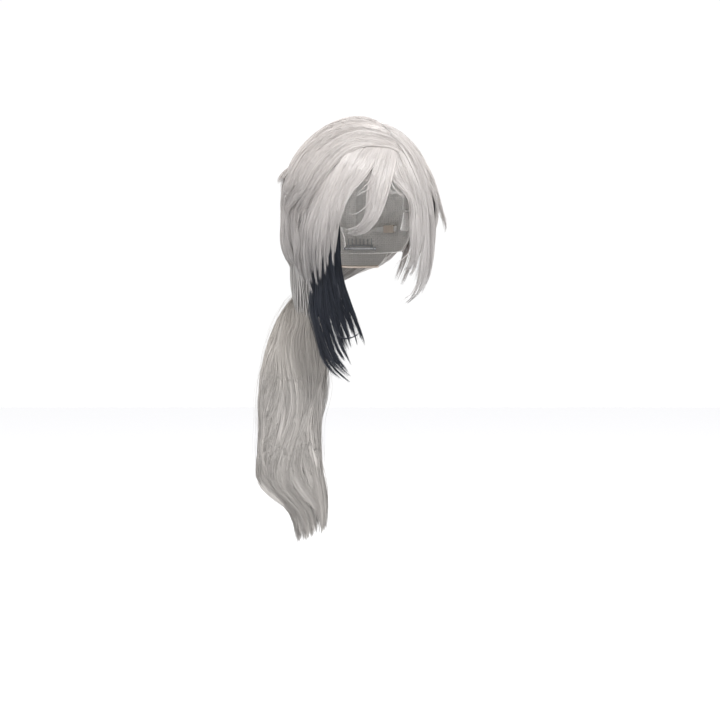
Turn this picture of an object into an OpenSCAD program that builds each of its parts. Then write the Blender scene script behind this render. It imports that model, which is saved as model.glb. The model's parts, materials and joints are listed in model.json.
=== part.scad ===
// Costume wig: an adult cap wig with a swept fringe, a black under-layer and a claw-clip ponytail.
// The wearer faces -Y, their right side is -X, and +Z is up.
// The origin is the middle of the head opening, level with the ends of the two ear tabs.

/* [Head cavity] */
// Half of the cavity's width
head_a = 77; // [74:1:82]
// Half of the cavity's front-to-back depth
head_b = 96; // [92:1:100]
// Half of the cavity's height, measured from its widest level
head_c = 92; // [88:1:96]
// Height of the widest level above the head opening
head_z = 38; // [35:1:42]
// How far the cavity's middle lies behind the origin
head_y = 4; // [2:1:6]

/* [Cap] */
// Thickness of the net, lace and band cloth
cloth_t = 1.2; // [1:0.1:1.4]
// Thickness of a sewn row of hair weft
weft_t = 1.6; // [1.2:0.1:1.8]
// Radius of the rolled edge binding
binding_r = 1.2; // [1:0.1:1.4]

/* [Hair shell] */
// Gap between the head and the underside of the hair
hair_in = 5.6; // [5.4:0.1:6]
// Depth of the hair over the top of the head
hair_top = 22; // [18:1:24]
// Depth of the hair at the back of the head
hair_back = 20; // [16:1:22]
// Extra depth of the hair over the wearer's right side
hair_right = 6; // [4:1:8]
// Extra depth of the hair over the wearer's left side
hair_left = 2; // [0:1:4]
// How much thinner the hair is over the forehead
hair_front = 5; // [3:1:6]

/* [Snap combs] */
// Length of a snap comb's back wire
comb_w = 38; // [34:1:42]
// Radius of a snap comb's back wire
comb_wire_r = 0.9; // [0.7:0.1:1]
// Number of teeth on a comb
comb_teeth = 7; // [5:1:9]
// Length of a comb's teeth
tooth_l = 12; // [9:1:14]

/* [Nape adjuster] */
// Length of each adjusting strap
strap_l = 34; // [30:1:38]
// Width of each adjusting strap
strap_w = 7; // [6:1:8]

/* [Claw clip] */
// Distance of the clip's middle from the middle of the wig, towards the wearer's right
claw_x = 70; // [68:1:72]
// Inner radius of the closed jaws
jaw_ri = 19; // [18:0.5:19.5]
// Outer radius of the closed jaws
jaw_ro = 21.5; // [21:0.5:22]
// Height of the jaws
jaw_h = 36; // [36:1:38]
// Radius of the hinge pin
pin_r = 1; // [0.9:0.1:1.1]

/* [Tail] */
// Level of the pivot that the tail hangs from
tail_z = -119; // [-120:0.5:-119]
// Half thickness of the tail, front to back
tail_t = 17; // [15:1:19]

/* [Hidden] */

white_hair = [0.92, 0.91, 0.90];
grey_hair = [0.80, 0.78, 0.76];
black_hair = [0.09, 0.10, 0.13];
net_white = [0.86, 0.85, 0.82];
band_beige = [0.83, 0.72, 0.62];
steel = [0.62, 0.64, 0.67];
clear_rubber = [0.78, 0.80, 0.82];
ivory_plastic = [0.88, 0.87, 0.84];

centre = [0, head_y, head_z];
step_az = 9;          // widest facet of the shells, in degrees
drop = 1.5;           // millimetres that hanging hair falls for each step below the widest level
ring_n = 10;          // sides of a lock of hair
sub = 3;              // extra rings between two points of a lock
crown_el = 48;        // where the crown section of hair meets the lower ones
net_el = 28;          // where the crown net meets the lower panels
comb_depth = 6.5;     // how far a comb's wire lies inside the cap
strap_depth = 8;      // how far a strap lies inside the cap
strap_el = -20;
front_comb = [-90, 40];   // direction of the forehead comb
nape_comb = [90, -40];    // direction of the nape comb
tab_az = -35;         // the direction of an ear tab
strap_az = 34;        // a strap's angle from the middle of the back
pin_y = 36;           // the claw's pin, behind the gathered hair
stub_y = 14;
claw_z = -112;        // the claw's lower end
knuckle_r = 3.3;
lever_l = 20;
tooth_pitch = 9.4;

// A point at direction (az, el) on the head's surface, moved d outwards.
function on_head(az, el, d) = centre
    + [(head_a + d) * cos(el) * cos(az), (head_b + d) * cos(el) * sin(az), (head_c + d) * sin(el)];

// Hanging hair leaves the head at its widest level and falls, drawn in a little at the back.
function draw_in(az, q) = 1 - (0.06 + 0.16 * max(0, sin(az))) * pow(min(q, 0) / 60, 2);
function on_hair(az, q, d) = q >= 0 ? on_head(az, q, d) : centre
    + [(head_a + d) * draw_in(az, q) * cos(az), (head_b + d) * draw_in(az, q) * sin(az), drop * q];

// Depth of the hair at direction az, q.
function side_depth(az) = hair_back + hair_right * max(0, -cos(az)) + hair_left * max(0, cos(az))
    - hair_front * max(0, -sin(az));
function hair_depth(az, q) = let (k = max(0, (q - crown_el) / (90 - crown_el)))
    side_depth(az) * (1 - k) + hair_top * k;
function mix(a, b, k) = a + (b - a) * k;

// Sewing faces between two grids of points gives a closed sheet with thickness.
module grid_solid(n, m, outer, inner) {
    count = (n + 1) * (m + 1);
    function at(i, j) = i * (m + 1) + j;
    function quad(a, b, c, d) = [[a, c, b], [a, d, c]];
    points = concat(
        [for (i = [0:n]) for (j = [0:m]) outer(i / n, j / m)],
        [for (i = [0:n]) for (j = [0:m]) inner(i / n, j / m)]);
    skins = [for (i = [0:n - 1]) for (j = [0:m - 1]) each concat(
        quad(at(i, j), at(i + 1, j), at(i + 1, j + 1), at(i, j + 1)),
        quad(count + at(i, j), count + at(i, j + 1), count + at(i + 1, j + 1), count + at(i + 1, j)))];
    ends = [for (j = [0:m - 1]) each concat(
        quad(at(0, j), at(0, j + 1), count + at(0, j + 1), count + at(0, j)),
        quad(at(n, j), count + at(n, j), count + at(n, j + 1), at(n, j + 1)))];
    edges = [for (i = [0:n - 1]) each concat(
        quad(at(i, 0), count + at(i, 0), count + at(i + 1, 0), at(i + 1, 0)),
        quad(at(i, m), at(i + 1, m), count + at(i + 1, m), count + at(i, m)))];
    polyhedron(points, concat(skins, ends, edges), convexity = 6);
}

// A panel of cap cloth between two directions, from d0 to d1 outside the head.
module cap_panel(az0, az1, el0, el1, d0, d1, rows = 5) {
    n = max(1, ceil((az1 - az0) / step_az));
    grid_solid(n, rows,
        function(u, v) on_head(mix(az0, az1, u), mix(el0, el1, v), d1),
        function(u, v) on_head(mix(az0, az1, u), mix(el0, el1, v), d0));
}

// A section of hair whose edges lean from the bottom angles to the top angles.
module hair_panel(low, high, q0, q1, rows = 9, thin = 0, tilt = 0, under = hair_in) {
    n = max(2, ceil((high[1] - high[0]) / step_az));
    function az(u, v) = mix(mix(low[0], high[0], v), mix(low[1], high[1], v), u);
    function q(u, v) = mix(q0 + tilt * u, q1, v);
    grid_solid(n, rows,
        function(u, v) on_hair(az(u, v), q(u, v), hair_depth(az(u, v), q(u, v)) - thin),
        function(u, v) on_hair(az(u, v), q(u, v), under));
}

// A dome closed at the top of the head, from elevation el0 upwards.
module dome(el0, rings, depth, inside) {
    n = 360 / step_az;
    count = n * rings + 1;
    function el(j) = mix(el0, 90, j / rings);
    function at(i, j) = j * n + i % n;
    function ring(d) = [for (j = [0:rings - 1]) for (i = [0:n - 1])
        on_head(i * step_az, el(j), d(i * step_az, el(j)))];
    points = concat(ring(depth), [on_head(0, 90, depth(0, 90))],
        ring(inside), [on_head(0, 90, inside(0, 90))]);
    top = count - 1;
    walls = [for (j = [0:rings - 2]) for (i = [0:n - 1]) each [
        [at(i, j), at(i + 1, j + 1), at(i + 1, j)], [at(i, j), at(i, j + 1), at(i + 1, j + 1)],
        [count + at(i, j), count + at(i + 1, j), count + at(i + 1, j + 1)],
        [count + at(i, j), count + at(i + 1, j + 1), count + at(i, j + 1)]]];
    caps = [for (i = [0:n - 1]) each [
        [at(i, rings - 1), top, at(i + 1, rings - 1)],
        [count + at(i, rings - 1), count + at(i + 1, rings - 1), count + top],
        [at(i, 0), at(i + 1, 0), count + at(i + 1, 0)],
        [at(i, 0), count + at(i + 1, 0), count + at(i, 0)]]];
    polyhedron(points, concat(walls, caps), convexity = 6);
}

// A smooth curve through a lock's points; each point is [x, y, z, half width, half thickness].
function curve(p, k) = let (i = min(floor(k), len(p) - 2), f = k - i,
    a = p[max(i - 1, 0)], b = p[i], c = p[i + 1], d = p[min(i + 2, len(p) - 1)])
    0.5 * (2 * b + (c - a) * f + (2 * a - 5 * b + 4 * c - d) * f * f
    + (3 * b - a - 3 * c + d) * f * f * f);

// A lock of hair: level oval rings along the curve.
module lock(p) {
    last = (len(p) - 1) * (sub + 1);
    points = [for (k = [0:last]) let (s = curve(p, k / (sub + 1))) for (i = [0:ring_n - 1])
        [s[0] + max(s[3], 0.8) * cos(i * 360 / ring_n), s[1] + max(s[4], 0.8) * sin(i * 360 / ring_n), s[2]]];
    sides = [for (k = [0:last - 1]) for (i = [0:ring_n - 1]) let (j = (i + 1) % ring_n) each [
        [k * ring_n + i, k * ring_n + j, (k + 1) * ring_n + j],
        [k * ring_n + i, (k + 1) * ring_n + j, (k + 1) * ring_n + i]]];
    ends = [[for (i = [ring_n - 1:-1:0]) i], [for (i = [0:ring_n - 1]) last * ring_n + i]];
    polyhedron(points, concat(sides, ends), convexity = 6);
}

// ---- The cap ----
module cap_crown_net() {
    color(net_white)
        dome(net_el, 7, function(az, el) cloth_t, function(az, el) 0);
}

module cap_back_net() {
    color(net_white) cap_panel(16, 164, -42, net_el - 0.8, 0, cloth_t, 7);
}

module cap_side(side) {
    color(net_white)
        mirror([side < 0 ? 1 : 0, 0, 0]) cap_panel(-44, 14.8, -8, net_el - 0.8, 0, cloth_t, 4);
}

module cap_side_left() { cap_side(1); }
module cap_side_right() { cap_side(-1); }

module cap_nape_panel() {
    color(net_white) cap_panel(48, 132, -60, -43, 0, cloth_t, 2);
}

module hairline_band() {
    color(band_beige) cap_panel(-134, -46, 20, net_el - 0.8, 0, cloth_t, 1);
}

module skin_patch() {
    color(band_beige) cap_panel(-120, -60, 55, 76, -1.7, -0.6, 3);
}

module binding_front() {
    color(band_beige) cap_panel(-134, -46, 18, 19.4, -0.6, binding_r * 2 - 0.6, 1);
}

module binding_sides() {
    color(band_beige)
        for (side = [0, 1])
            mirror([side, 0, 0]) cap_panel(-26, 14, -10.2, -8.8, -0.6, binding_r * 2 - 0.6, 1);
}

module binding_nape() {
    color(band_beige) cap_panel(48, 132, -62.6, -60.8, -0.6, binding_r * 2 - 0.6, 1);
}

module elastic_strips() {
    color(net_white)
        for (az = [30, 90, 150])
            cap_panel(az - 3, az + 3, -26, 24, -1.8, -0.7, 5);
}

// ---- Rows of weft sewn on the outside of the net ----
module weft_row(az0, az1, el) {
    color(grey_hair) cap_panel(az0, az1, el, el + 3, cloth_t + 1, cloth_t + 1 + weft_t, 1);
}

module weft_rows_top() {
    weft_row(-80, 260, 34);
    weft_row(-80, 260, 46);
}

module weft_rows_back() {
    for (el = [-32:14:10])
        weft_row(22, 158, el);
}

module weft_rows_sides() {
    for (side = [0, 1])
        mirror([side, 0, 0])
            for (el = [-4, 9])
                weft_row(-38, 8, el);
}

// ---- Ear tabs, each with a bendable metal stay ----
module ear_tab(side) {
    color(net_white)
        mirror([side < 0 ? 1 : 0, 0, 0]) cap_panel(tab_az - 7, tab_az + 7, -25, -10, 0, cloth_t, 3);
}

module ear_stay(side) {
    color(steel)
        mirror([side < 0 ? 1 : 0, 0, 0])
            translate(on_head(tab_az, -12, -2.4))
                rotate([0, 0, tab_az])
                    rotate([0, 16, 0])
                        translate([0, 0, -18]) cylinder(r = 0.8, h = 18, $fn = 24);
}

module ear_tab_left() { ear_tab(1); }
module ear_tab_right() { ear_tab(-1); }
module ear_stay_left() { ear_stay(1); }
module ear_stay_right() { ear_stay(-1); }

// ---- Nape adjuster: a hooked strap slides in a channel on each side ----
// Local axes: X along the strap towards the middle, Y up, Z out of the head.
module at_strap(side) {
    mirror([side < 0 ? 1 : 0, 0, 0])
        translate(on_head(90 - strap_az, strap_el, -strap_depth))
            rotate([0, 0, 90 - strap_az])
                rotate([90, 0, 90])
                    children();
}

module strap(side) {
    color(net_white)
        at_strap(side)
            translate([-strap_l / 2, -strap_w / 2, -0.5]) cube([strap_l, strap_w, 1]);
}

module hook(side) {
    color(ivory_plastic)
        at_strap(side)
            translate([strap_l / 2 + 0.3, 0, 0]) {
                translate([0, -3, -0.7]) cube([3, 6, 1.4]);
                translate([3, -1, -0.7]) cube([6, 2, 1.4]);
                translate([7.4, -1, -3]) cube([1.6, 2, 2.6]);
            }
}

module adjust_channels() {
    color(band_beige)
        for (side = [1, -1])
            at_strap(side)
                translate([-12, 0, 0])
                    rotate([0, 90, 0])
                        linear_extrude(16)
                            difference() {
                                square([3.4, strap_w + 3], center = true);
                                square([1.8, strap_w + 0.8], center = true);
                            }
}

module hook_loops() {
    color(band_beige)
        for (x = [-2:2])
            translate([x * 4, head_y + head_b - 9 - abs(x) * 0.3, head_z - 30])
                rotate([90, 0, 0])
                    rotate_extrude($fn = 32) translate([1.3, 0]) circle(0.4, $fn = 16);
}

module strap_left() { strap(1); }
module strap_right() { strap(-1); }
module hook_left() { hook(1); }
module hook_right() { hook(-1); }

// ---- Snap combs: a toothed blade turns on a sleeved back wire ----
// Local axes: X along the wire, Y up the cap, Z into the head.
module at_comb(az, el) {
    translate(on_head(az, el, -comb_depth))
        rotate([0, 0, az + 90])
            rotate([90 - el, 0, 0])
                mirror([0, 0, 1])
                    children();
}

module comb_wire(az, el) {
    color(steel)
        at_comb(az, el) {
            rotate([0, 90, 0]) cylinder(r = comb_wire_r, h = comb_w, center = true, $fn = 32);
            for (x = [-1, 1])
                translate([x * (comb_w / 2 + 1.4), 0, 0])
                    rotate([0, 90, 0]) cylinder(r = 2, h = 2.8, center = true, $fn = 32);
        }
}

module comb_sleeve(az, el) {
    color(clear_rubber)
        at_comb(az, el)
            rotate([0, 90, 0])
                difference() {
                    cylinder(r = comb_wire_r + 1, h = comb_w - 12, center = true, $fn = 32);
                    cylinder(r = comb_wire_r + 0.03, h = comb_w, center = true, $fn = 32);
                }
}

module comb_blade(az, el) {
    eye_r = comb_wire_r + 1.1;
    pitch = (comb_w - 6) / (comb_teeth - 1);
    color(steel)
        at_comb(az, el) {
            for (x = [-1, 1])
                translate([x * (comb_w / 2 - 3), 0, 0])
                    difference() {
                        union() {
                            rotate([0, 90, 0]) cylinder(r = eye_r, h = 3.6, center = true, $fn = 32);
                            translate([-1.8, 0.4, -0.4]) cube([3.6, 5.2, 0.8]);
                        }
                        rotate([0, 90, 0])
                            cylinder(r = comb_wire_r + 0.06, h = 5, center = true, $fn = 32);
                    }
            translate([-comb_w / 2 + 1.2, 4.4, -0.4]) cube([comb_w - 2.4, 2.2, 0.8]);
            for (i = [0:comb_teeth - 1])
                translate([(i - (comb_teeth - 1) / 2) * pitch - 0.6, 6, -0.35])
                    cube([1.2, tooth_l, 0.7]);
        }
}

module front_comb_wire() { comb_wire(front_comb[0], front_comb[1]); }
module front_comb_sleeve() { comb_sleeve(front_comb[0], front_comb[1]); }
module front_comb_blade() { comb_blade(front_comb[0], front_comb[1]); }
module nape_comb_wire() { comb_wire(nape_comb[0], nape_comb[1]); }
module nape_comb_sleeve() { comb_sleeve(nape_comb[0], nape_comb[1]); }
module nape_comb_blade() { comb_blade(nape_comb[0], nape_comb[1]); }

// ---- The hair that is sewn to the cap ----
module hair_crown() {
    color(white_hair)
        dome(crown_el, 6, function(az, el) hair_depth(az, el), function(az, el) hair_in);
}

module hair_back_left() {
    color(white_hair) hair_panel([18, 88], [12, 89], -44, crown_el - 1, 8);
}

module hair_back_right() {
    color(white_hair) hair_panel([92, 166], [91, 166], -44, crown_el - 1, 8);
}

module hair_side_left() {
    color(white_hair) hair_panel([-34, 12], [-42, 10.5], -29, crown_el - 1, 8);
}

module hair_side_right() {
    color(white_hair) hair_panel([168, 216], [168, 221], -58, crown_el - 1, 9);
}

module fringe_top_left() {
    color(white_hair) hair_panel([-92, -44], [-92, -44], 30, crown_el - 1, 2);
}

module fringe_top_right() {
    color(white_hair) hair_panel([-137, -94], [-137, -94], 30, crown_el - 1, 2);
}

module fringe_left() {
    color(white_hair) hair_panel([-66, -44], [-72, -44], 21, 29, 3, 2, -18);
}

module curtain_right() {
    color(white_hair) hair_panel([-135, -108], [-137, -97], -12, 29, 5, 2);
}

module side_column_right() {
    color(white_hair)
        lock([[-80, -34, -53, 13, 7], [-80, -30, -70, 13, 7], [-78, -26, -90, 12, 6],
            [-75, -24, -106, 7, 3]]);
}

module side_flicks() {
    color(white_hair) {
        lock([[-97.6, 0, 86, 1.4, 6], [-104.4, -2, 71, 2.6, 7], [-110, -4, 60, 1.2, 5]]);
        lock([[98.4, -18, 68, 1.6, 6], [103, -22, 46, 2.8, 7], [107, -26, 22, 2.4, 6],
            [112, -30, -3, 1, 2]]);
    }
}

module nape_sweep() {
    color(white_hair)
        hair_panel([122, 148], [93, 165], -60, -45, 3, 6);
}

// ---- Locks that hang free ----
module curtain_tips() {
    color(white_hair)
        hair_panel([-131, -124], [-135, -109], -84, -15, 7, 3, 0, 9);
}

module fringe_mid() {
    color(white_hair)
        hair_panel([-98, -93], [-92, -75], -28, 28, 6, 4);
}

module left_lock_outer() {
    color(white_hair)
        lock([[80, -42, -15, 11, 6], [84, -44, -45, 12, 6], [80, -48, -70, 10, 5], [60, -54, -97, 2, 2]]);
}

module left_lock_inner() {
    color(white_hair)
        lock([[63, -68, -15, 6, 4], [64, -69, -30, 6, 4], [60, -70, -49, 1.5, 1.5]]);
}

module black_lock() {
    color(black_hair) {
        lock([[-41, -57, 0, 9, 4], [-44, -57, -40, 13, 4.6], [-42, -59, -90, 21, 6],
            [-38, -61, -134, 22, 6], [-28, -61, -175, 13, 4], [-16, -61, -200, 2, 2]]);
        lock([[-16.6, -59, -96, 2.4, 3], [-8, -60, -116, 6, 3], [1, -61, -134, 3, 2],
            [6, -61, -148, 1, 1]]);
    }
}

// ---- The gathered hair, the claw clip that grips it and the tail ----
module gathered_stub() {
    color(white_hair)
        lock([[-54, 60, -55, 10, 9], [-58, 50, -59, 11, 11], [-67, 24, -64, 12, 12],
            [-70, stub_y + 1, -69, 12, 12],
            [-70, stub_y, -90, 13, 13], [-70, stub_y, -114, 13, 13]]);
}

module stub_tie() {
    color(black_hair)
        translate([-claw_x, stub_y + 1, -72])
            rotate_extrude($fn = 48) translate([15.6, 0]) circle(1.3, $fn = 20);
}

// A part of the jaws' ring between two angles.
module jaw_arc(from, to, z, h) {
    translate([-claw_x, stub_y, z])
        rotate([0, 0, from])
            rotate_extrude(angle = to - from, $fn = 96)
                translate([jaw_ri, 0]) square([jaw_ro - jaw_ri, h]);
}

module knuckle(z, h, bore) {
    translate([-claw_x, pin_y, z])
        difference() {
            cylinder(r = knuckle_r, h = h, $fn = 40);
            translate([0, 0, -1]) cylinder(r = bore, h = h + 2, $fn = 40);
        }
}

// The thumb lever and the web that joins it and the jaw to the knuckle.
module lever(angle, z, h) {
    translate([-claw_x, pin_y, z])
        rotate([0, 0, angle])
            translate([knuckle_r - 0.4, -0.9, 0]) cube([lever_l, 1.8, h]);
}

module claw_outer_jaw() {
    color(ivory_plastic) {
        jaw_arc(105, 258, claw_z, jaw_h);
        for (k = [0:3])
            jaw_arc(257, 279, claw_z + 1 + k * tooth_pitch, 3.2);
        for (z = [claw_z + 2, claw_z + 26]) {
            knuckle(z, 6, pin_r + 0.03);
            difference() {
                translate([-claw_x - 6.4, pin_y - 3.6, z]) cube([5.4, 3, 6]);
                translate([-claw_x, pin_y, z - 1]) cylinder(r = knuckle_r - 1, h = 8, $fn = 40);
            }
            lever(128, z, 6);
        }
        translate([-claw_x, pin_y, claw_z + 2])
            rotate([0, 0, 128]) translate([12, -0.9, 0]) cube([lever_l - 9.1, 1.8, 30]);
    }
}

module claw_inner_jaw() {
    color(ivory_plastic) {
        jaw_arc(-78, 75, claw_z, jaw_h);
        for (k = [0:2])
            jaw_arc(-99, -77, claw_z + 1 + (k + 0.5) * tooth_pitch, 3.2);
        knuckle(claw_z + 9, 6, pin_r + 0.06);
        difference() {
            translate([-claw_x + 1, pin_y - 3.6, claw_z + 9]) cube([5.4, 3, 6]);
            translate([-claw_x, pin_y, claw_z + 8]) cylinder(r = knuckle_r - 1, h = 8, $fn = 40);
        }
        lever(58, claw_z + 9, 6);
        translate([-claw_x, pin_y, claw_z + 2])
            rotate([0, 0, 58]) translate([12, -0.9, 0]) cube([lever_l - 9.1, 1.8, 30]);
    }
}

module claw_pin() {
    color(steel)
        translate([-claw_x, pin_y, claw_z + 1]) cylinder(r = pin_r, h = jaw_h - 3, $fn = 40);
}

module claw_spring() {
    color(steel)
        translate([-claw_x, pin_y, claw_z + 16])
            difference() {
                cylinder(r = pin_r + 1.3, h = 9, $fn = 40);
                translate([0, 0, -1]) cylinder(r = pin_r + 0.4, h = 11, $fn = 40);
            }
}

module tail_weft_pad() {
    color(grey_hair)
        translate([-claw_x - 2, stub_y - 2, tail_z - 2]) cylinder(r = 15, h = 4, $fn = 48);
}

module tail_wrap() {
    color(grey_hair)
        translate([-claw_x, stub_y, claw_z - 1])
            rotate([0, 0, 110])
                rotate_extrude(angle = 150, $fn = 96)
                    translate([23, 0]) square([5, 12]);
}

module tail_upper() {
    color(grey_hair)
        lock([[-72, 12, -124, 8, 8], [-77, 9, -140, 26, 13], [-82, 6, -152, 37, tail_t],
            [-87, 2, -180, 43, tail_t], [-91, -4, -215, 45, tail_t], [-92, -6, -231, 40, 11]]);
}

module tail_lower() {
    color(grey_hair)
        lock([[-92, -8, -241, 38, 7], [-96, -9, -256, 44, tail_t], [-97, -12, -287, 43, tail_t],
            [-93, -13, -315, 40, tail_t - 2], [-88, -13, -331, 30, 9]]);
}

module tail_tip() {
    color(grey_hair)
        lock([[-84, -13, -341, 12, 8], [-80, -13, -352, 32, 13], [-72, -13, -372, 28, 12],
            [-62, -13, -396, 22, 8], [-44, -13, -416, 5, 3]]);
}

cap_crown_net();
cap_back_net();
cap_side_left();
cap_side_right();
cap_nape_panel();
hairline_band();
skin_patch();
binding_front();
binding_sides();
binding_nape();
elastic_strips();
weft_rows_top();
weft_rows_back();
weft_rows_sides();
ear_tab_left();
ear_tab_right();
ear_stay_left();
ear_stay_right();
adjust_channels();
hook_loops();
strap_left();
strap_right();
hook_left();
hook_right();
front_comb_wire();
front_comb_sleeve();
front_comb_blade();
nape_comb_wire();
nape_comb_sleeve();
nape_comb_blade();
hair_crown();
hair_back_left();
hair_back_right();
hair_side_left();
hair_side_right();
fringe_top_left();
fringe_top_right();
fringe_left();
curtain_right();
side_column_right();
side_flicks();
nape_sweep();
curtain_tips();
fringe_mid();
left_lock_outer();
left_lock_inner();
black_lock();
gathered_stub();
stub_tie();
claw_outer_jaw();
claw_inner_jaw();
claw_pin();
claw_spring();
tail_weft_pad();
tail_wrap();
tail_upper();
tail_lower();
tail_tip();
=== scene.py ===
"""A costume wig: net cap, layered white hair, black under-layer and a waved tail on a claw clip."""
import json
import math

import bpy
import numpy as np
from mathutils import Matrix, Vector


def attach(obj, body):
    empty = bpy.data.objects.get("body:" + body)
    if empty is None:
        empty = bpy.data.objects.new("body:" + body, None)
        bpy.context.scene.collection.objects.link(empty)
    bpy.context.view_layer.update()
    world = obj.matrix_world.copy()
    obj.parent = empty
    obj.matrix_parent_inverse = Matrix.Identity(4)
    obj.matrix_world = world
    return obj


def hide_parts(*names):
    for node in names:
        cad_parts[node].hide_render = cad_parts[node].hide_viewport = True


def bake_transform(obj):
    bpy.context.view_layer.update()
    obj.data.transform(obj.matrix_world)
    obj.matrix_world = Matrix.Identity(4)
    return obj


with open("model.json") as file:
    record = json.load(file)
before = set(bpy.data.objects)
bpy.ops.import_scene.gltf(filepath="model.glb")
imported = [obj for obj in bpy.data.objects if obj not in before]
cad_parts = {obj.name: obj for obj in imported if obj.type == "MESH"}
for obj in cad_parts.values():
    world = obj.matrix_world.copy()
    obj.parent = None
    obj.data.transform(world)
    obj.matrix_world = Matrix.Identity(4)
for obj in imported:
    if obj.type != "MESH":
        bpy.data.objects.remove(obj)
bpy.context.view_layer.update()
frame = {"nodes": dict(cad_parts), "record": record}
MM = 0.001

# ---- The head that the hair lies on, in millimetres; these match the CAD model ----
HEAD = np.array([77.0, 96.0, 92.0])      # half sizes of the head cavity
HEAD_AT = np.array([0.0, 4.0, 38.0])     # its middle
DROP = 1.5                               # fall of hanging hair for each step below the widest level


def unit(v):
    return v / np.maximum(np.linalg.norm(v, axis=-1, keepdims=True), 1e-9)


def polar(az, q, d):
    """A point d outside the head at direction az; below the widest level hair hangs down."""
    a, e = math.radians(az), math.radians(max(q, 0.0))
    draw_in = 1 - (0.06 + 0.16 * max(0.0, math.sin(a))) * (min(q, 0.0) / 60) ** 2
    size = HEAD + d
    z = size[2] * math.sin(e) if q >= 0 else DROP * q
    r = math.cos(e) * draw_in
    return HEAD_AT + [size[0] * r * math.cos(a), size[1] * r * math.sin(a), z]


def front(x, z, d):
    """The point of the head's front, d outside it, that is seen at x, z from in front."""
    size = HEAD + d
    up = max(z - HEAD_AT[2], 0.0) / size[2]
    y = HEAD_AT[1] - size[1] * math.sqrt(max(1 - (x / size[0]) ** 2 - up * up, 0.0))
    return np.array([x, y, z])


def head_normal(p):
    """Outward directions on the head for points of shape (..., 3)."""
    n = (p - HEAD_AT) / (HEAD + 18) ** 2
    n[..., 2] = np.maximum(n[..., 2], 0)
    return unit(n)


# ---- Curves and locks of hair ----
DENSE = 72          # places along each guide
LAST = DENSE - 1
FOLD_WIDTH, FOLD_HEIGHT = 26.0, 1.1      # broad soft folds across each fall of hair, in millimetres
OVERTONES = 3       # waves added up along a hair
NEAR = 0.02         # step across a fall, as a share of it, that measures its width there
BEYOND = 0.01       # share of a hair past each end, which sets the end's direction
LEAN = 0.05         # spread of how far the strips tilt
FLATNESS = 0.5      # thickness of a hair against its width
STRAND_MAP = 0.002  # width of the streaks' map for each millimetre across a strand


def smooth_line(points):
    """A Catmull-Rom curve through the points, with evenly spaced places on it."""
    p = np.array(points, float)
    ext = np.vstack([2 * p[0] - p[1], p, 2 * p[-1] - p[-2]])
    u = np.linspace(0, 1, 17)[:-1, None]
    runs = []
    for i in range(1, len(ext) - 2):
        a, b, c, d = ext[i - 1:i + 3]
        runs.append(0.5 * (2 * b + (c - a) * u + (2 * a - 5 * b + 4 * c - d) * u ** 2
                           + (3 * b - a - 3 * c + d) * u ** 3))
    line = np.vstack(runs + [p[-1:]])
    along = np.concatenate([[0], np.cumsum(np.linalg.norm(np.diff(line, axis=0), axis=1))])
    even = np.linspace(0, along[-1], DENSE)
    return np.stack([np.interp(even, along, line[:, k]) for k in range(line.shape[1])], 1)


def on_guides(g, s, t):
    """Places at s across the guides and t along them; g is (guides, DENSE, 3)."""
    count = len(g)
    x = s * (count - 1)
    i = np.clip(np.floor(x).astype(int), 0, count - 2)
    f = (x - i)[..., None]
    y = np.clip(t, 0, 1) * LAST
    j = np.clip(np.floor(y).astype(int), 0, LAST - 1)
    h = (y - j)[..., None]

    def row(k):
        k = np.clip(k, 0, count - 1)
        return g[k, j] * (1 - h) + g[k, j + 1] * h

    a, b, c, d = row(i - 1), row(i), row(i + 1), row(i + 2)
    a = np.where((i == 0)[..., None], 2 * b - c, a)
    d = np.where((i >= count - 2)[..., None], 2 * c - b, d)
    return 0.5 * (2 * b + (c - a) * f + (2 * a - 5 * b + 4 * c - d) * f ** 2
                  + (3 * b - a - 3 * c + d) * f ** 3)


class Waves:
    """Smooth random waves along hairs, one set for each, read at any places along them."""

    def __init__(self, rng, n, turns):
        order = np.arange(OVERTONES)[:, None, None]
        self.rate = turns * (0.6 + 0.8 * rng.random((OVERTONES, n, 1))) * (1 + 0.7 * order)
        self.start = rng.random((OVERTONES, n, 1))
        self.share = 0.62 / (1 + order)

    def __call__(self, t, rows=slice(None)):
        return (np.sin(2 * np.pi * (self.rate[:, rows] * t + self.start[:, rows])) * self.share).sum(0)


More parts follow.
